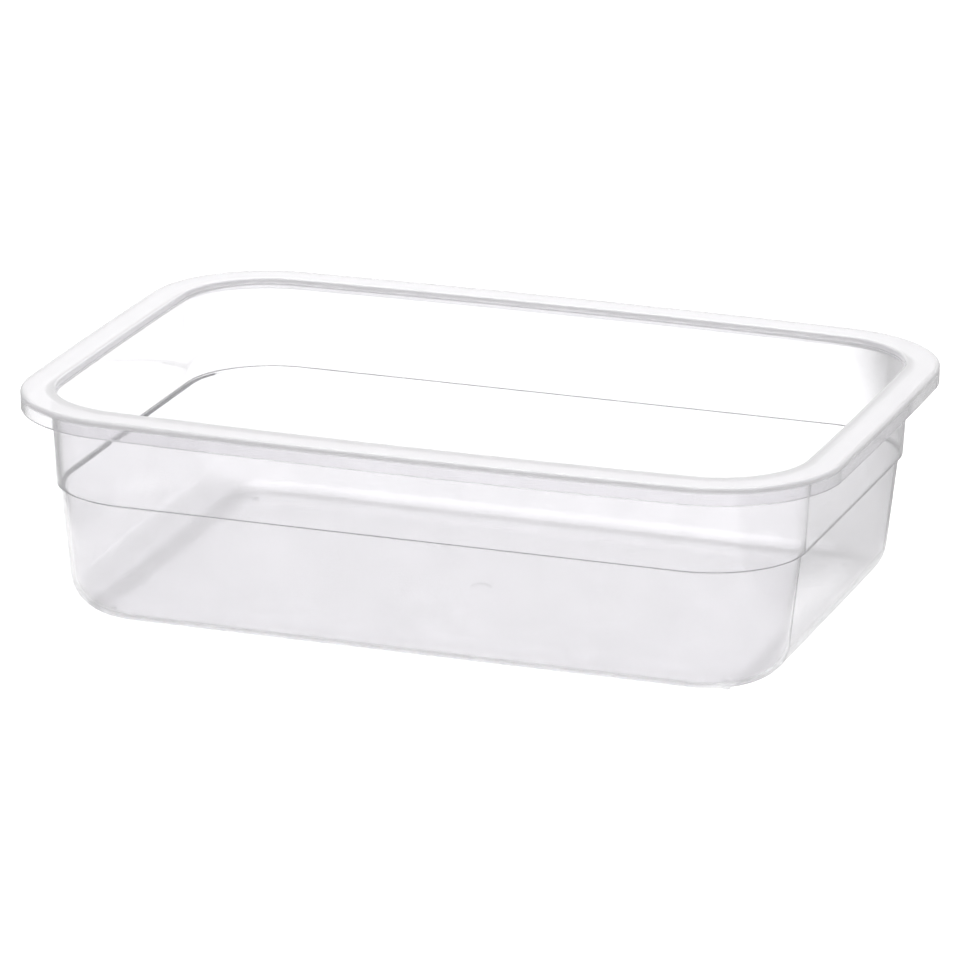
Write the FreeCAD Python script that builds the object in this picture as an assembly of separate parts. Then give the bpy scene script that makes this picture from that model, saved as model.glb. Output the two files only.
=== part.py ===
"""Open rectangular food storage container, injection moulded in one piece of clear polypropylene.

Millimetres, +Z up, long side along X. The origin is the centre of the footprint, at the level of the four
small feet. Every outline runs parallel to the rim or to the walls, and every inset is measured inwards
from the rim's outer edge. The lid that snaps over the rim is a separate article.
"""
import FreeCAD, Part
import math
import os

# Overall size, and the rim's outline: its sides belly out a little between the corners
RIM_LENGTH = 210.0
RIM_WIDTH = 149.0
HEIGHT = 57.2
RIM_CORNER = 31.8
RIM_BOW_LONG = 1.6
RIM_BOW_SHORT = 0.3

# Rim: a flange with a hanging skirt, which the lid snaps over
FLANGE_THICK = 1.2
FLANGE_RISE = 0.2         # from the outer edge up to the crest round the mouth
LID_LAND = 5.6            # the flat outer band that the lid seals on
LAND_RISE = 0.08
EDGE_ROUND = 0.9
MOUTH_ROUND = 0.6
SKIRT_DROP = 4.7
SKIRT_THICK = 1.2
SKIRT_DRAFT = 0.08
LIP_ROUND = 0.25
CHANNEL_ROUND = 0.4
ROOT_ROUND = 1.6          # fillet where the flange springs from the wall

# Walls: two drafted tiers with a small stacking ledge between them
WALL = 1.2
WALL_CORNER = 33.5        # corner radius that the straight tiers would have at the rim's edge
WALL_BOW = 0.1
WALL_INSET_TOP = 7.4
WALL_INSET_LEDGE = 8.9
WALL_INSET_BASE = 13.2
LEDGE_DEPTH = 23.6        # from the rim's edge down to the top of the ledge
LEDGE_WIDTH = 1.0
LEDGE_FALL = 0.45
LEDGE_LIFT = 0.78         # the shelf inside is this much higher, which keeps the wall's thickness
LEDGE_ROUND = 0.25
LEDGE_ROUND_INSIDE = 0.5

# Base: a flat floor with a generous turn into the walls, on four small feet
BASE_ROUND = 10.2
FLOOR = 1.2
FOOT_HEIGHT = 0.5
FOOT_DIAMETER = 2.2
FOOT_INSET_X = 25.5       # from the rim's outer edge to the foot's axis
FOOT_INSET_Y = 24.5
GATE_DIAMETER = 5.0
GATE_DEPTH = 0.3

EDGE_Z = HEIGHT - FLANGE_RISE
UNDERSIDE_Z = EDGE_Z - FLANGE_THICK
SKIRT_Z = EDGE_Z - SKIRT_DROP
LEDGE_Z = EDGE_Z - LEDGE_DEPTH
LEDGE_FOOT_Z = LEDGE_Z - LEDGE_FALL
BASE_Z = FOOT_HEIGHT
FLOOR_Z = BASE_Z + FLOOR

# The upper tier blends from the bellied rim to the straight ledge between these two levels
BLEND_TOP_Z = UNDERSIDE_Z - 2.0
BLEND_FOOT_Z = LEDGE_Z + 2.0
DRAFT = (WALL_INSET_LEDGE - WALL_INSET_TOP) / (EDGE_Z - LEDGE_Z)
FLAT_INSET = WALL_INSET_BASE + BASE_ROUND + 2.0

UP = FreeCAD.Vector(0, 0, 1)


class Outline:
    """A rounded rectangle with bellied sides: eight arcs, each tangent to the next."""

    def __init__(self, corner, bow_long, bow_short):
        half_x = RIM_LENGTH / 2
        half_y = RIM_WIDTH / 2
        corner_x = half_x - corner
        corner_y = half_y - corner
        for _ in range(40):
            long_radius = corner_x ** 2 / (2 * bow_long) + bow_long / 2
            short_radius = corner_y ** 2 / (2 * bow_short) + bow_short / 2
            reach_long = long_radius - corner
            reach_short = short_radius - corner
            corner_y = half_y - long_radius + math.sqrt(reach_long ** 2 - corner_x ** 2)
            corner_x = half_x - short_radius + math.sqrt(reach_short ** 2 - corner_y ** 2)
        long_turn = math.degrees(math.asin(corner_x / reach_long))
        short_turn = math.degrees(math.asin(corner_y / reach_short))
        corner_turn = 90 - long_turn - short_turn
        # each arc: centre x, centre y, radius, start angle and turn in degrees, anticlockwise from +X
        self.arcs = [
            (half_x - short_radius, 0, short_radius, -short_turn, 2 * short_turn),
            (corner_x, corner_y, corner, short_turn, corner_turn),
            (0, half_y - long_radius, long_radius, 90 - long_turn, 2 * long_turn),
            (-corner_x, corner_y, corner, 90 + long_turn, corner_turn),
            (short_radius - half_x, 0, short_radius, 180 - short_turn, 2 * short_turn),
            (-corner_x, -corner_y, corner, 180 + short_turn, corner_turn),
            (0, long_radius - half_y, long_radius, 270 - long_turn, 2 * long_turn),
            (corner_x, -corner_y, corner, 270 + long_turn, corner_turn),
        ]

    def ring(self, inset, z):
        """The closed wire at height z that runs parallel to the outline, inset from it."""
        edges = []
        for x, y, radius, start, turn in self.arcs:
            points = []
            for angle in (start, start + turn / 2, start + turn):
                along = FreeCAD.Vector(math.cos(math.radians(angle)), math.sin(math.radians(angle)), 0)
                points.append(FreeCAD.Vector(x, y, z) + along * (radius - inset))
            edges.append(Part.Arc(*points).toShape())
        return Part.Wire(edges)

    def sweep(self, section):
        """The section, drawn with +X pointing out of the outline, carried once round it."""
        pieces = []
        for x, y, radius, start, turn in self.arcs:
            centre = FreeCAD.Vector(x, y, 0)
            piece = section.copy()
            piece.translate(FreeCAD.Vector(radius, 0, 0))
            piece.rotate(FreeCAD.Vector(0, 0, 0), UP, start)
            piece.translate(centre)
            pieces.append(piece.revolve(centre, UP, turn))
        return pieces[0].fuse(pieces[1:]).removeSplitter()


def section(corners):
    """A flat face from (inset, z, rounding) corners, drawn in the XZ plane with inset running to -X."""
    count = len(corners)
    starts = []
    ends = []
    for index in range(count):
        inset, z, rounding = corners[index]
        here = FreeCAD.Vector(-inset, 0, z)
        before = FreeCAD.Vector(-corners[index - 1][0], 0, corners[index - 1][1])
        after = FreeCAD.Vector(-corners[(index + 1) % count][0], 0, corners[(index + 1) % count][1])
        back = (before - here).normalize()
        ahead = (after - here).normalize()
        reach = rounding / math.tan(back.getAngle(ahead) / 2)
        starts.append(here + back * reach)
        ends.append(here + ahead * reach)
    edges = []
    for index in range(count):
        inset, z, rounding = corners[index]
        if rounding > 0:
            here = FreeCAD.Vector(-inset, 0, z)
            to_centre = ((starts[index] + ends[index]) * 0.5 - here).normalize()
            half_angle = (starts[index] - here).getAngle(to_centre)
            middle = here + to_centre * (rounding / math.sin(half_angle) - rounding)
            edges.append(Part.Arc(starts[index], middle, ends[index]).toShape())
        edges.append(Part.LineSegment(ends[index], starts[(index + 1) % count]).toShape())
    return Part.Face(Part.Wire(edges))


rim_line = Outline(RIM_CORNER, RIM_BOW_LONG, RIM_BOW_SHORT)
wall_line = Outline(WALL_CORNER, WALL_BOW, WALL_BOW)


def wall_inset(z):
    """Where the outside of the upper tier stands at height z."""
    return WALL_INSET_TOP + DRAFT * (EDGE_Z - z)


def rim():
    """Flange, skirt and the top of the wall."""
    root = wall_inset(UNDERSIDE_Z)
    neck = wall_inset(BLEND_TOP_Z)
    return rim_line.sweep(section([
        (SKIRT_DRAFT, SKIRT_Z, LIP_ROUND),
        (0, EDGE_Z, EDGE_ROUND),
        (LID_LAND, EDGE_Z + LAND_RISE, 0),
        (WALL_INSET_TOP + WALL, HEIGHT, MOUTH_ROUND),
        (neck + WALL, BLEND_TOP_Z, 0),
        (neck, BLEND_TOP_Z, 0),
        (root, UNDERSIDE_Z, ROOT_ROUND),
        (SKIRT_THICK, UNDERSIDE_Z, CHANNEL_ROUND),
        (SKIRT_THICK, SKIRT_Z, LIP_ROUND),
    ]))


def upper_tier():
    """The stretch of wall in which the belly of the rim dies away."""
    forms = []
    for depth in (0, WALL):
        top = rim_line.ring(wall_inset(BLEND_TOP_Z) + depth, BLEND_TOP_Z)
        foot = wall_line.ring(wall_inset(BLEND_FOOT_Z) + depth, BLEND_FOOT_Z)
        forms.append(Part.makeLoft([foot, top], True, True))
    return forms[0].cut(forms[1])


def lower_tier():
    """The stacking ledge, the lower wall and the turn into the base."""
    waist = wall_inset(BLEND_FOOT_Z)
    return wall_line.sweep(section([
        (waist, BLEND_FOOT_Z, 0),
        (waist + WALL, BLEND_FOOT_Z, 0),
        (WALL_INSET_LEDGE + WALL, LEDGE_Z + LEDGE_LIFT, LEDGE_ROUND),
        (WALL_INSET_LEDGE + LEDGE_WIDTH + WALL, LEDGE_FOOT_Z + LEDGE_LIFT, LEDGE_ROUND_INSIDE),
        (WALL_INSET_BASE + WALL, FLOOR_Z, BASE_ROUND - WALL),
        (FLAT_INSET, FLOOR_Z, 0),
        (FLAT_INSET, BASE_Z, 0),
        (WALL_INSET_BASE, BASE_Z, BASE_ROUND),
        (WALL_INSET_LEDGE + LEDGE_WIDTH, LEDGE_FOOT_Z, LEDGE_ROUND),
        (WALL_INSET_LEDGE, LEDGE_Z, LEDGE_ROUND),
    ]))


def floor():
    """The flat plate, with the shallow round mark left by the injection gate underneath."""
    plate = Part.Face(wall_line.ring(FLAT_INSET, BASE_Z)).extrude(UP * FLOOR)
    mark = Part.makeCylinder(GATE_DIAMETER / 2, GATE_DEPTH, FreeCAD.Vector(0, 0, BASE_Z))
    return plate.cut(mark)


def foot(side_x, side_y):
    """A short stud near one corner of the base."""
    x = side_x * (RIM_LENGTH / 2 - FOOT_INSET_X)
    y = side_y * (RIM_WIDTH / 2 - FOOT_INSET_Y)
    return Part.makeCylinder(FOOT_DIAMETER / 2, BASE_Z + FLOOR / 2, FreeCAD.Vector(x, y, 0))


def container():
    pieces = [upper_tier(), lower_tier(), floor()]
    for side_x in (-1, 1):
        for side_y in (-1, 1):
            pieces.append(foot(side_x, side_y))
    body = rim().fuse(pieces).removeSplitter()
    return body.Solids[0]


os.makedirs("parts", exist_ok=True)
shape = container()
shape.exportStep("parts/container.step")
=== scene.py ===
import math
import bpy
from mathutils import Matrix, Vector


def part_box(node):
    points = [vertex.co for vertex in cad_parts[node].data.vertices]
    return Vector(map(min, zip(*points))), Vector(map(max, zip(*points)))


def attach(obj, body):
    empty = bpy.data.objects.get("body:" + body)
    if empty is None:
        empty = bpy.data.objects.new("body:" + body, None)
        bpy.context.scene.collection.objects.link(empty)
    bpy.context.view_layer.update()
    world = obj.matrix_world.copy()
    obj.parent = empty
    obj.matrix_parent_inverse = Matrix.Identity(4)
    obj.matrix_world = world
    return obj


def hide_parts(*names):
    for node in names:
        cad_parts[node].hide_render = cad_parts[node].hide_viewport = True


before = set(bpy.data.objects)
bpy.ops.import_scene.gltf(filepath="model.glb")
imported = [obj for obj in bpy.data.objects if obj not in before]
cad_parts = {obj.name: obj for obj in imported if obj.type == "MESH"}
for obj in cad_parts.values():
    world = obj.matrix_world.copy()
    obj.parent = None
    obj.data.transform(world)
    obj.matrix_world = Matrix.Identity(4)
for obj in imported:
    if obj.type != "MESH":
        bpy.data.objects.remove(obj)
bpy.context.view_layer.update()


# ---------------------------------------------------------------------------------------------
# The container: one injection moulding of clear polypropylene, about 1.2 mm thick. A flat flange
# with a hanging skirt runs round the mouth, the walls lean in and step in once at a stacking
# ledge, and a wide turn leads them into a flat base on four small feet.
# Sizes are in millimetres. An inset is measured inwards from the rim's outer edge.

MM = 0.001

low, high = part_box("container")
HALF_X = high.x / MM
HALF_Y = high.y / MM
HEIGHT = high.z / MM

# the rim: flange, land for the lid, and skirt
FLANGE_THICK = 1.2
FLANGE_RISE = 0.2
LID_LAND = 5.6
LAND_RISE = 0.08
LAND_ROUND = 4.0
EDGE_ROUND = 0.9
MOUTH_ROUND = 0.6
SKIRT_DROP = 4.7
SKIRT_THICK = 1.2
SKIRT_DRAFT = 0.08
LIP_ROUND = 0.25
CHANNEL_ROUND = 0.4
ROOT_ROUND = 1.6

# the walls, with the ledge that carries the next container of a stack
WALL = 1.2
WALL_INSET_TOP = 7.4
WALL_INSET_LEDGE = 8.9
WALL_INSET_BASE = 13.2
LEDGE_DEPTH = 23.6
LEDGE_WIDTH = 1.0
LEDGE_FALL = 0.45
LEDGE_ROUND = 0.15
BLEND_MARGIN = 2.0

# the base
BASE_ROUND = 10.2
FLOOR = 1.2
FLAT_MARGIN = 2.0
FOOT_HEIGHT = 0.5

EDGE_Z = HEIGHT - FLANGE_RISE
UNDERSIDE_Z = EDGE_Z - FLANGE_THICK
SKIRT_Z = EDGE_Z - SKIRT_DROP
LEDGE_Z = EDGE_Z - LEDGE_DEPTH
LEDGE_FOOT_Z = LEDGE_Z - LEDGE_FALL
BASE_Z = FOOT_HEIGHT
FLOOR_Z = BASE_Z + FLOOR
BLEND_TOP_Z = UNDERSIDE_Z - BLEND_MARGIN
BLEND_FOOT_Z = LEDGE_Z + BLEND_MARGIN
DRAFT = (WALL_INSET_LEDGE - WALL_INSET_TOP) / (EDGE_Z - LEDGE_Z)
FLAT_INSET = WALL_INSET_BASE + BASE_ROUND + FLAT_MARGIN


def wall_inset(z):
    """How far in the outside of the upper wall stands at a height."""
    return WALL_INSET_TOP + DRAFT * (EDGE_Z - z)


def outline_arcs(corner, bow_long, bow_short):
    """Eight arcs, each tangent to the next: centre x, centre y, radius, start angle and turn."""
    corner_x = HALF_X - corner
    corner_y = HALF_Y - corner
    settling_rounds = 40
    for _ in range(settling_rounds):
        long_radius = corner_x ** 2 / (2 * bow_long) + bow_long / 2
        short_radius = corner_y ** 2 / (2 * bow_short) + bow_short / 2
        reach_long = long_radius - corner
        reach_short = short_radius - corner
        corner_y = HALF_Y - long_radius + math.sqrt(reach_long ** 2 - corner_x ** 2)
        corner_x = HALF_X - short_radius + math.sqrt(reach_short ** 2 - corner_y ** 2)
    long_turn = math.asin(corner_x / reach_long)
    short_turn = math.asin(corner_y / reach_short)
    corner_turn = math.pi / 2 - long_turn - short_turn
    quarter = math.pi / 2
    return [
        (HALF_X - short_radius, 0, short_radius, -short_turn, 2 * short_turn),
        (corner_x, corner_y, corner, short_turn, corner_turn),
        (0, HALF_Y - long_radius, long_radius, quarter - long_turn, 2 * long_turn),
        (-corner_x, corner_y, corner, quarter + long_turn, corner_turn),
        (short_radius - HALF_X, 0, short_radius, 2 * quarter - short_turn, 2 * short_turn),
        (-corner_x, -corner_y, corner, 2 * quarter + short_turn, corner_turn),
        (0, long_radius - HALF_Y, long_radius, 3 * quarter - long_turn, 2 * long_turn),
        (corner_x, -corner_y, corner, 3 * quarter + long_turn, corner_turn),
    ]


# the rim bellies out between its corners, the walls lower down are almost straight
RIM_LINE = outline_arcs(corner=31.8, bow_long=1.6, bow_short=0.3)
WALL_LINE = outline_arcs(corner=33.5, bow_long=0.1, bow_short=0.1)
SIDE_STEPS = 16
CORNER_STEPS = 28


def ring(arcs, inset):
    """Points round an outline, with the direction and pace along it at each."""
    points = []
    for index, (x, y, radius, start, turn) in enumerate(arcs):
        steps = CORNER_STEPS if index % 2 else SIDE_STEPS
        for step in range(steps):
            angle = start + turn * step / steps
            reach = radius - inset
            points.append((
                Vector((x + reach * math.cos(angle), y + reach * math.sin(angle), 0)),
                Vector((-math.sin(angle), math.cos(angle), 0)) * abs(reach * turn / steps),
            ))
    return points


def rounded(corners):
    """An open section line from (inset, z, rounding) corners: (place, heading) along it."""
    degrees_per_step = 7
    shoulder = 0.1  # keeps the faces beside a rounding flat
    line = []
    last = len(corners) - 1
    for index, (inset, z, rounding) in enumerate(corners):
        here = Vector((inset, z))
        came = (here - Vector(corners[index - 1][:2])).normalized()
        goes = (Vector(corners[(index + 1) % len(corners)][:2]) - here).normalized()
        if index == 0:
            line.append((here, goes))
            continue
        if index == last:
            line.append((here, came))
            continue
        if rounding == 0:
            line.append((here, (came + goes).normalized()))
            continue
        bend = came.angle(goes)
        reach = rounding * math.tan(bend / 2)
        side = 1 if came.cross(goes) > 0 else -1
        start = here - came * reach
        centre = start + Vector((-came.y, came.x)) * side * rounding
        arm = start - centre
        steps = max(4, int(math.degrees(bend) / degrees_per_step))
        line.append((start - came * shoulder, came))
        for step in range(steps + 1):
            turn = side * bend * step / steps
            c = math.cos(turn)
            s = math.sin(turn)
            line.append((
                centre + Vector((arm.x * c - arm.y * s, arm.x * s + arm.y * c)),
                Vector((came.x * c - came.y * s, came.x * s + came.y * c)),
            ))
        line.append((here + goes * (reach + shoulder), goes))
    return line


# from the middle of the underside, out and up the wall, over the rim and back down to the floor
moulding_section = rounded([
    (FLAT_INSET, BASE_Z, 0),
    (WALL_INSET_BASE, BASE_Z, BASE_ROUND),
    (WALL_INSET_LEDGE + LEDGE_WIDTH, LEDGE_FOOT_Z, LEDGE_ROUND),
    (WALL_INSET_LEDGE, LEDGE_Z, LEDGE_ROUND),
    (wall_inset(BLEND_FOOT_Z), BLEND_FOOT_Z, 0),
    (wall_inset(BLEND_TOP_Z), BLEND_TOP_Z, 0),
    (wall_inset(UNDERSIDE_Z), UNDERSIDE_Z, ROOT_ROUND),
    (SKIRT_THICK, UNDERSIDE_Z, CHANNEL_ROUND),
    (SKIRT_THICK, SKIRT_Z, LIP_ROUND),
    (SKIRT_DRAFT, SKIRT_Z, LIP_ROUND),
    (0, EDGE_Z, EDGE_ROUND),
    (LID_LAND, EDGE_Z + LAND_RISE, LAND_ROUND),
    (WALL_INSET_TOP + WALL, HEIGHT, MOUTH_ROUND),
    (wall_inset(BLEND_TOP_Z) + WALL, BLEND_TOP_Z, 0),
    (wall_inset(BLEND_FOOT_Z) + WALL, BLEND_FOOT_Z, 0),
    (WALL_INSET_LEDGE + WALL, LEDGE_Z, LEDGE_ROUND),
    (WALL_INSET_LEDGE + LEDGE_WIDTH + WALL, LEDGE_FOOT_Z, LEDGE_ROUND),
    (WALL_INSET_BASE + WALL, FLOOR_Z, BASE_ROUND - WALL),
    (FLAT_INSET, FLOOR_Z, 0),
])

# the round mark that the injection gate leaves in the middle of the underside
GATE_DIAMETER = 5.0
GATE_DEPTH = 0.3
GATE_MARGIN_INSIDE = 0.8
GATE_MARGIN_OUTSIDE = 1.0
gate_section = rounded([
    (GATE_MARGIN_INSIDE - GATE_DIAMETER / 2, BASE_Z + GATE_DEPTH, 0),
    (-GATE_DIAMETER / 2, BASE_Z + GATE_DEPTH, 0.1),
    (-GATE_DIAMETER / 2, BASE_Z, 0.05),
    (-GATE_MARGIN_OUTSIDE - GATE_DIAMETER / 2, BASE_Z, 0),
])

# the four small feet, each sunk a little into the base so that they are one with it
FOOT_DIAMETER = 2.2
FOOT_ROUND = 0.15
FOOT_FACE_MARGIN = 0.3
FOOT_SUNK = 0.2
FOOT_X = 79.5
FOOT_Y = 50.0
FOOT_STEPS = 32
foot_section = rounded([
    (FOOT_FACE_MARGIN - FOOT_DIAMETER / 2, 0, 0),
    (-FOOT_DIAMETER / 2, 0, FOOT_ROUND),
    (-FOOT_DIAMETER / 2, FOOT_HEIGHT + FOOT_SUNK, 0),
])


def turned(section, centre, spokes, vertices, normals):
    """Rings of a small round feature, turned about an upright line through its centre."""
    rings = []
    for (point, heading) in section:
        indices = []
        for out in spokes:
            indices.append(len(vertices))
            place = centre + out * -point.x
            vertices.append((place.x * MM, place.y * MM, point.y * MM))
            normals.append((out * heading.y + Vector((0, 0, heading.x))).normalized())
        rings.append(indices)
    return rings


def skin_rings(rings, faces):
    """Faces from each ring to the next, and a cap on the first and on the last."""
    count = len(rings[0])
    for lower, upper in zip(rings, rings[1:]):
        for k in range(count):
            faces.append((lower[k], lower[(k + 1) % count], upper[(k + 1) % count], upper[k]))
    faces.append(list(reversed(rings[0])))
    faces.append(rings[-1])


def container_mesh():
    """The whole moulding, its section carried round the rim line and, lower down, the wall line."""
    vertices = []
    normals = []
    faces = []
    spokes = [point.normalized() for point, _ in ring(WALL_LINE, FLAT_INSET)]
    rings = turned(gate_section, Vector((0, 0, 0)), spokes, vertices, normals)
    for (point, heading) in moulding_section:
        inset, z = point
        blend = min(1, max(0, (BLEND_TOP_Z - z) / (BLEND_TOP_Z - BLEND_FOOT_Z)))
        if inset < WALL_INSET_TOP:
            blend = 0  # the skirt hangs lower than the blend begins, but follows the rim
        indices = []
        around = zip(ring(RIM_LINE, inset), ring(WALL_LINE, inset))
        for (rim_point, rim_pace), (wall_point, wall_pace) in around:
            place = rim_point.lerp(wall_point, blend)
            along = rim_pace.lerp(wall_pace, blend).normalized()
            out = along.cross(Vector((0, 0, 1)))
            indices.append(len(vertices))
            vertices.append((place.x * MM, place.y * MM, z * MM))
            normals.append((out * heading.y + Vector((0, 0, heading.x))).normalized())
        rings.append(indices)
    skin_rings(rings, faces)

    foot_spokes = []
    for step in range(FOOT_STEPS):
        angle = step * math.tau / FOOT_STEPS
        foot_spokes.append(Vector((math.cos(angle), math.sin(angle), 0)))
    for side_x, side_y in [(1, 1), (-1, 1), (-1, -1), (1, -1)]:
        centre = Vector((side_x * FOOT_X, side_y * FOOT_Y, 0))
        skin_rings(turned(foot_section, centre, foot_spokes, vertices, normals), faces)

    mesh = bpy.data.meshes.new("container")
    mesh.from_pydata(vertices, [], faces)
    for polygon in mesh.polygons:
        polygon.use_smooth = True
    mesh.validate()
    mesh.normals_split_custom_set_from_vertices(normals)
    mesh.update()
    return mesh


def linear(hex_colour):
    """An sRGB hex colour as linear RGBA."""
    channels = [int(hex_colour[k:k + 2], 16) / 255 for k in (1, 3, 5)]
    return [c / 12.92 if c <= 0.04045 else ((c + 0.055) / 1.055) ** 2.4 for c in channels] + [1]


def add(nodes, kind, settings=None, links=None):
    """Adds a node, sets its sockets and properties, and links its inputs."""
    node = nodes.new(kind)
    for name, value in (settings or {}).items():
        if isinstance(name, int) or name in node.inputs:
            node.inputs[name].default_value = value
        else:
            setattr(node, name, value)
    for name, source in (links or {}).items():
        node.id_data.links.new(source, node.inputs[name])
    return node


# Polypropylene, clarified and injection moulded in a polished tool. The eye sees through it, with
# a faint milky veil that gathers where light travels far inside, and a whiter, cloudier rim.
POLYPROPYLENE = "#fdfcfe"
POLYPROPYLENE_IOR = 1.49
POLISHED = 0.05  # roughness as moulded
SCUFFED = 0.09  # roughness in the handling scuffs
CLEAR = 0.95  # share of light that goes into the walls; the rest the surface scatters
RIM_CLEAR = 0.4  # the same, in the top of the rim
RIM_CLOUDS_FROM = 55.0  # the height at which the rim turns cloudy
RIM_CLOUDS_TO = 56.0
SHADOW_TONE = 0.82  # light that each skin lets through into the shadow
BODY_TINT = "#bcbebf"
BODY_DENSITY = 60  # absorption per metre
VEIL = "#ffffff"
VEIL_DENSITY = 60  # scattering per metre
VEIL_FORWARD = 0.6  # how much of the scattered light keeps on forwards

FLOW_WAVE = 25.0  # the slow waviness that the melt leaves as it fills the tool
FLOW_DEPTH = 0.2
MOTTLE = 11.1  # patches of slightly cloudier plastic
SCUFF_WIDTH = 0.4  # drawn coarser than real hair scuffs, so that they show at all
SCUFF_LENGTH = 6.25
SCUFF_SPACING = 2.5

clear_polypropylene = bpy.data.materials.new("clear_polypropylene_moulded")
clear_polypropylene.use_nodes = True
nodes = clear_polypropylene.node_tree.nodes
nodes.clear()
on_moulding = add(nodes, "ShaderNodeTexCoord").outputs["Object"]

waves = add(nodes, "ShaderNodeTexNoise", {"Scale": 1 / (FLOW_WAVE * MM), "Detail": 1}, {
    "Vector": on_moulding})
waviness = add(nodes, "ShaderNodeBump", {"Strength": 0.05, "Distance": FLOW_DEPTH * MM}, {
    "Height": waves.outputs["Fac"]})

mottles = add(nodes, "ShaderNodeTexNoise", {"Scale": 1 / (MOTTLE * MM), "Detail": 3}, {
    "Vector": on_moulding})
mottled = add(nodes, "ShaderNodeMapRange", {
    "From Min": 0.3, "From Max": 0.7, "To Min": 0.97, "To Max": 1.0,
}, {"Value": mottles.outputs["Fac"]})

along_scuffs = add(nodes, "ShaderNodeMapping", {
    "Rotation": (0.3, 0.5, 0.4),
    "Scale": (1 / (SCUFF_WIDTH * MM), 1 / (SCUFF_LENGTH * MM), 1 / (SCUFF_SPACING * MM)),
}, {"Vector": on_moulding})
scuffs = add(nodes, "ShaderNodeTexNoise", {"Scale": 1, "Detail": 2}, {
    "Vector": along_scuffs.outputs["Vector"]})
roughness = add(nodes, "ShaderNodeMapRange", {
    "From Min": 0.55, "From Max": 0.75, "To Min": POLISHED, "To Max": SCUFFED,
}, {"Value": scuffs.outputs["Fac"]})

height = add(nodes, "ShaderNodeSeparateXYZ", {}, {0: on_moulding})
rim_clouds = add(nodes, "ShaderNodeMapRange", {
    "interpolation_type": "SMOOTHSTEP",
    "From Min": RIM_CLOUDS_FROM * MM, "From Max": RIM_CLOUDS_TO * MM,
    "To Min": CLEAR, "To Max": RIM_CLEAR,
}, {"Value": height.outputs["Z"]})
clearness = add(nodes, "ShaderNodeMath", {"operation": "MULTIPLY"}, {
    0: rim_clouds.outputs["Result"], 1: mottled.outputs["Result"]})

plastic = add(nodes, "ShaderNodeBsdfPrincipled", {
    "Base Color": linear(POLYPROPYLENE), "IOR": POLYPROPYLENE_IOR,
}, {"Normal": waviness.outputs["Normal"], "Roughness": roughness.outputs["Result"],
    "Transmission Weight": clearness.outputs[0]})

# shadow rays go straight through, so that the shadow is soft and pale
lets_light = add(nodes, "ShaderNodeBsdfTransparent", {
    "Color": (SHADOW_TONE, SHADOW_TONE, SHADOW_TONE, 1)})
light_path = add(nodes, "ShaderNodeLightPath")
skin = add(nodes, "ShaderNodeMixShader", {}, {
    0: light_path.outputs["Is Shadow Ray"], 1: plastic.outputs["BSDF"],
    2: lets_light.outputs["BSDF"]})

absorbs = add(nodes, "ShaderNodeVolumeAbsorption", {
    "Color": linear(BODY_TINT), "Density": BODY_DENSITY})
veils = add(nodes, "ShaderNodeVolumeScatter", {
    "Color": linear(VEIL), "Density": VEIL_DENSITY, "Anisotropy": VEIL_FORWARD})
body = add(nodes, "ShaderNodeAddShader", {}, {0: absorbs.outputs[0], 1: veils.outputs[0]})
add(nodes, "ShaderNodeOutputMaterial", {}, {
    "Surface": skin.outputs["Shader"], "Volume": body.outputs[0]})

container = bpy.data.objects.new("container_moulding", container_mesh())
bpy.context.scene.collection.objects.link(container)
container.data.materials.append(clear_polypropylene)
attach(container, "root")
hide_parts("container")


# ---------------------------------------------------------------------------------------------
# The studio floor: a wide sheet of white paper. Straight to the camera it glows evenly, so that it
# shows as plain white. What the plastic passes on or reflects is a dimmer floor with painted light
# and
# shade in its glow: a painted lit strip along the line of sight, painted shade beside it for the
# unlit sides of the room, a painted shadow under the container and a painted shadow line round its
# base.

FLOOR_HALF = 3.0  # metres
PAPER = 0.5
CAMERA_GLOW = 0.8
PLASTIC_GLOW = 0.77
ACROSS = (0.946, 0.324, 0)  # sideways to the line of sight

# painted light: the glow that the plastic sees is full in a strip along the line of sight, with
# painted shade beside it
LIT_CENTRE = 0.018  # the lit strip, in metres, runs along the line of sight
LIT_FROM = 0.12
LIT_TO = 0.14
SHADE_BESIDE_STRIP = 0.08

# painted shadow: under the container's base the glow that the plastic sees is dimmed
PAINTED_SHADOW_HALF_X = 94.0
PAINTED_SHADOW_HALF_Y = 64.0
PAINTED_SHADOW_FROM = 0.95  # as shares of those half sizes
PAINTED_SHADOW_TO = 1.12
PAINTED_SHADOW_UNDER_CONTAINER = 0.72

# painted shadow: a dark band in the glow that the plastic sees, round the edge of the base
PAINTED_SHADOW_LINE_MIDDLE = 0.9
PAINTED_SHADOW_LINE_FROM = 0.015
PAINTED_SHADOW_LINE_TO = 0.06
PAINTED_SHADOW_LINE = 0.45


def seen_directly_or_in_plastic(nodes, light_path):
    """1 for rays of the camera and for those that came off or through the plastic."""
    seen = add(nodes, "ShaderNodeMath", {"operation": "MAXIMUM"}, {
        0: light_path.outputs["Is Camera Ray"], 1: light_path.outputs["Is Glossy Ray"]})
    return add(nodes, "ShaderNodeMath", {"operation": "MAXIMUM"}, {
        0: seen.outputs[0], 1: light_path.outputs["Is Transmission Ray"]})


floor_mesh = bpy.data.meshes.new("studio_floor")
floor_mesh.from_pydata([
    (-FLOOR_HALF, -FLOOR_HALF, 0), (FLOOR_HALF, -FLOOR_HALF, 0),
    (FLOOR_HALF, FLOOR_HALF, 0), (-FLOOR_HALF, FLOOR_HALF, 0),
], [], [(0, 1, 2, 3)])
floor = bpy.data.objects.new("studio_floor", floor_mesh)
bpy.context.scene.collection.objects.link(floor)

white_paper = bpy.data.materials.new("white_floor_paper")
white_paper.use_nodes = True
nodes = white_paper.node_tree.nodes
nodes.clear()
light_path = add(nodes, "ShaderNodeLightPath")
on_floor = add(nodes, "ShaderNodeTexCoord").outputs["Object"]

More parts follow.
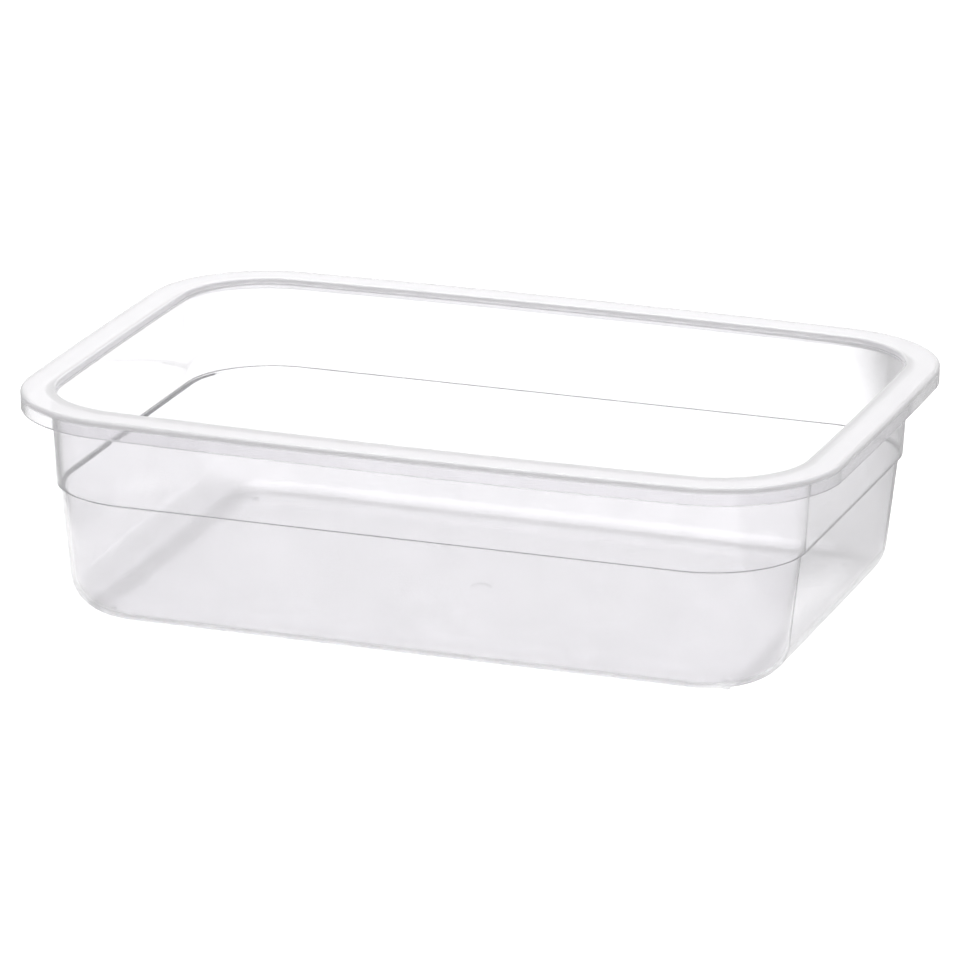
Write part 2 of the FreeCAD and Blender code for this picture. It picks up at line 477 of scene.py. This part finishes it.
across = add(nodes, "ShaderNodeVectorMath", {"operation": "DOT_PRODUCT", 1: ACROSS}, {
    0: on_floor})
from_strip = add(nodes, "ShaderNodeMath", {"operation": "ADD", 1: LIT_CENTRE}, {
    0: across.outputs["Value"]})
off_strip = add(nodes, "ShaderNodeMath", {"operation": "ABSOLUTE"}, {0: from_strip.outputs[0]})
# painted lit strip, and painted shade beside it
strip = add(nodes, "ShaderNodeMapRange", {
    "interpolation_type": "SMOOTHSTEP", "From Min": LIT_FROM, "From Max": LIT_TO,
    "To Min": 1.0, "To Max": SHADE_BESIDE_STRIP,
}, {"Value": off_strip.outputs[0]})

base_shares = add(nodes, "ShaderNodeVectorMath", {
    "operation": "DIVIDE", 1: (PAINTED_SHADOW_HALF_X * MM, PAINTED_SHADOW_HALF_Y * MM, 1)}, {0: on_floor})
base_sizes = add(nodes, "ShaderNodeVectorMath", {"operation": "ABSOLUTE"}, {
    0: base_shares.outputs[0]})
base_axes = add(nodes, "ShaderNodeSeparateXYZ", {}, {0: base_sizes.outputs[0]})
base_reach = add(nodes, "ShaderNodeMath", {"operation": "MAXIMUM"}, {
    0: base_axes.outputs["X"], 1: base_axes.outputs["Y"]})
# painted shadow under the container
painted_shadow_under = add(nodes, "ShaderNodeMapRange", {
    "interpolation_type": "SMOOTHSTEP", "From Min": PAINTED_SHADOW_FROM, "From Max": PAINTED_SHADOW_TO,
    "To Min": PAINTED_SHADOW_UNDER_CONTAINER, "To Max": 1.0,
}, {"Value": base_reach.outputs[0]})

from_contact = add(nodes, "ShaderNodeMath", {"operation": "SUBTRACT", 1: PAINTED_SHADOW_LINE_MIDDLE}, {
    0: base_reach.outputs[0]})
off_contact = add(nodes, "ShaderNodeMath", {"operation": "ABSOLUTE"}, {
    0: from_contact.outputs[0]})
# painted shadow line round the base
painted_shadow_line = add(nodes, "ShaderNodeMapRange", {
    "interpolation_type": "SMOOTHSTEP", "From Min": PAINTED_SHADOW_LINE_FROM, "From Max": PAINTED_SHADOW_LINE_TO,
    "To Min": PAINTED_SHADOW_LINE, "To Max": 1.0,
}, {"Value": off_contact.outputs[0]})

# the painted shadows and the painted lit strip together, scaling the floor's glow
shaded = add(nodes, "ShaderNodeMath", {"operation": "MULTIPLY"}, {
    0: painted_shadow_under.outputs["Result"], 1: painted_shadow_line.outputs["Result"]})
lit_and_shaded = add(nodes, "ShaderNodeMath", {"operation": "MULTIPLY"}, {
    0: strip.outputs["Result"], 1: shaded.outputs[0]})
plastic_glow = add(nodes, "ShaderNodeMath", {"operation": "MULTIPLY", 1: PLASTIC_GLOW}, {
    0: lit_and_shaded.outputs[0]})
glow_if_seen = add(nodes, "ShaderNodeMath", {"operation": "MULTIPLY"}, {
    0: seen_directly_or_in_plastic(nodes, light_path).outputs[0], 1: plastic_glow.outputs[0]})
camera_glow = add(nodes, "ShaderNodeMath", {"operation": "MULTIPLY", 1: CAMERA_GLOW}, {
    0: light_path.outputs["Is Camera Ray"]})
strength = add(nodes, "ShaderNodeMath", {"operation": "MAXIMUM"}, {
    0: glow_if_seen.outputs[0], 1: camera_glow.outputs[0]})
paper = add(nodes, "ShaderNodeBsdfDiffuse", {"Color": (PAPER, PAPER, PAPER, 1)})
glow = add(nodes, "ShaderNodeEmission", {}, {"Strength": strength.outputs[0]})
glowing_paper = add(nodes, "ShaderNodeAddShader", {}, {0: paper.outputs[0], 1: glow.outputs[0]})
add(nodes, "ShaderNodeOutputMaterial", {}, {"Surface": glowing_paper.outputs[0]})
floor.data.materials.append(white_paper)


# ---------------------------------------------------------------------------------------------
# The white room and its lamp: the room gives soft light from all round and one wide panel hangs
# overhead. In what the plastic passes on or reflects, the room is dimmer to the sides.

ROOM = 0.66
SIDE_FROM = 0.3
SIDE_TO = 0.7
ROOM_SIDE = 0.35
PANEL_WATTS = 10.0
PANEL_SIZE = 1.0

world = bpy.data.worlds.new("white_studio")
bpy.context.scene.world = world
world.use_nodes = True
nodes = world.node_tree.nodes
nodes.clear()
light_path = add(nodes, "ShaderNodeLightPath")
direction = add(nodes, "ShaderNodeTexCoord").outputs["Generated"]
across = add(nodes, "ShaderNodeVectorMath", {"operation": "DOT_PRODUCT", 1: ACROSS}, {
    0: direction})
to_side = add(nodes, "ShaderNodeMath", {"operation": "ABSOLUTE"}, {0: across.outputs["Value"]})
sides = add(nodes, "ShaderNodeMapRange", {
    "interpolation_type": "SMOOTHSTEP", "From Min": SIDE_FROM, "From Max": SIDE_TO,
    "To Min": 1.0, "To Max": ROOM_SIDE,
}, {"Value": to_side.outputs[0]})
white_to_camera = add(nodes, "ShaderNodeMath", {"operation": "MAXIMUM"}, {
    0: sides.outputs["Result"], 1: light_path.outputs["Is Camera Ray"]})
backdrop = add(nodes, "ShaderNodeBackground", {}, {"Strength": white_to_camera.outputs[0]})
room = add(nodes, "ShaderNodeBackground", {"Strength": ROOM})
shown = add(nodes, "ShaderNodeMixShader", {}, {
    0: seen_directly_or_in_plastic(nodes, light_path).outputs[0],
    1: room.outputs[0], 2: backdrop.outputs[0]})
add(nodes, "ShaderNodeOutputWorld", {}, {"Surface": shown.outputs[0]})

panel_data = bpy.data.lights.new("overhead_panel", "AREA")
panel_data.shape = "RECTANGLE"
panel_data.size = PANEL_SIZE
panel_data.size_y = PANEL_SIZE
panel_data.energy = PANEL_WATTS
panel = bpy.data.objects.new("overhead_panel", panel_data)
panel.location = (0, 0.2, 1.2)
bpy.context.scene.collection.objects.link(panel)


# ---------------------------------------------------------------------------------------------
# The camera: a long lens that looks down on the container from its front right.

LENS = 261.76
SENSOR = 36
TURN = 0.3295  # radians, round to the right
TILT = 0.2999  # radians, up
ROLL = 0.0106  # radians, about the line of sight
DISTANCE = 1.7399  # metres
AIM = Vector((-0.00077, 0, 0.02919))

backwards = Vector((
    math.sin(TURN) * math.cos(TILT), -math.cos(TURN) * math.cos(TILT), math.sin(TILT)))
right = Vector((math.cos(TURN), math.sin(TURN), 0))
up = backwards.cross(right)
rolled_right = right * math.cos(ROLL) + up * math.sin(ROLL)
rolled_up = up * math.cos(ROLL) - right * math.sin(ROLL)
camera_data = bpy.data.cameras.new("camera")
camera_data.lens = LENS
camera_data.sensor_width = SENSOR
camera_data.clip_start = 0.1
camera_data.clip_end = 20
camera = bpy.data.objects.new("camera", camera_data)
axes = Matrix((rolled_right, rolled_up, backwards)).transposed().to_4x4()
camera.matrix_world = Matrix.Translation(AIM + backwards * DISTANCE) @ axes
bpy.context.scene.collection.objects.link(camera)
bpy.context.scene.camera = camera
bpy.context.scene.view_settings.view_transform = "Standard"

# light crosses many skins in a clear box, and scatters once or twice in the veil
SKIN_BOUNCES = 24
VEIL_BOUNCES = 2
bpy.context.scene.cycles.max_bounces = SKIN_BOUNCES
bpy.context.scene.cycles.transmission_bounces = SKIN_BOUNCES
bpy.context.scene.cycles.glossy_bounces = SKIN_BOUNCES
bpy.context.scene.cycles.volume_bounces = VEIL_BOUNCES
